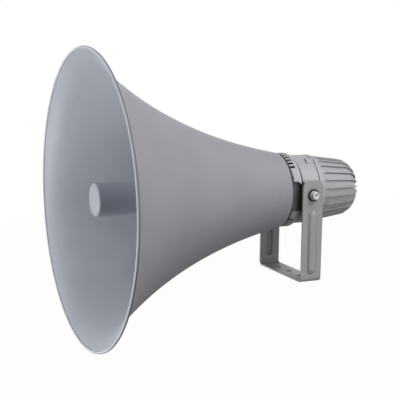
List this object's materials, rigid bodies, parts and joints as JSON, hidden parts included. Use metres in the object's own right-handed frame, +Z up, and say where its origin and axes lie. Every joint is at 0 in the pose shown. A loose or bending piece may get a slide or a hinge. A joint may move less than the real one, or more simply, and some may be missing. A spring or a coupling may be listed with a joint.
{
  "type": "pa horn speaker",
  "caption": "Large round reflex horn loudspeaker with a flared bell, a closed-front reflector tube, a finned driver housing and a tilting U bracket.",
  "frame": {"origin": "centre of the middle fixing hole, on the underside of the bracket's foot", "axes": "+Z up, away from the mounting surface; the mouth faces -Y; +X across the bracket"},
  "size_m": [0.51, 0.5275, 0.51],
  "materials": {
    "bracket_steel": "powder coat, fine orange peel, satin",
    "bell_paint": "grey powder coat over spun aluminium, satin",
    "reflector_paint": "grey powder coat, satin",
    "housing_paint": "grey powder coat over cast aluminium, fine texture",
    "cast_aluminium": "bare cast aluminium",
    "moulded_grey": "moulded, matt",
    "zinc": "bright zinc plate",
    "black_rubber": "moulded rubber, matt",
    "iron": "turned and blackened iron",
    "ferrite": "ground ferrite, dark grey",
    "diaphragm_film": "resin-bonded film",
    "copper_coil": "enamelled copper wire",
    "winding_tape": "taped winding",
    "terminal_black": "moulded, matt",
    "brass_screw": "turned brass",
    "gland_grey": "moulded, fine matt"
  },
  "bodies": {
    "bracket": {"u_bracket": "bracket_steel"},
    "horn": {"horn_bell": "bell_paint", "reflector_tube": "reflector_paint", "throat_tube": "cast_aluminium", "front_spider": "moulded_grey", "back_spider": "moulded_grey", "reflector_screws": "zinc", "throat_screws": "zinc", "neck_gasket": "black_rubber", "neck_screws": "zinc", "driver_housing": "housing_paint", "joint_gasket": "black_rubber", "rear_cover": "housing_paint", "cover_screws": "zinc", "phase_plate": "cast_aluminium", "phase_plug": "moulded_grey", "diaphragm": "diaphragm_film", "diaphragm_ring": "moulded_grey", "voice_coil": "copper_coil", "top_plate": "iron", "ring_magnet": "ferrite", "yoke": "iron", "motor_screws": "zinc", "transformer_core": "iron", "transformer_winding": "winding_tape", "transformer_clamps": "zinc", "clamp_screws": "zinc", "terminal_block": "terminal_black", "terminal_screws": "brass_screw", "gland_body": "gland_grey", "gland_seal": "black_rubber", "gland_nut": "gland_grey", "gland_locknut": "gland_grey", "pivot_bolts": "zinc", "spring_washers": "zinc", "plain_washers": "zinc", "friction_washers": "black_rubber"}
  },
  "joints": [
    {"name": "tilt", "type": "hinge", "parent": "bracket", "child": "horn", "pos_m": [0, 0, 0.156], "axis": [1, 0, 0], "range_deg": [-90, 45]}
  ]
}
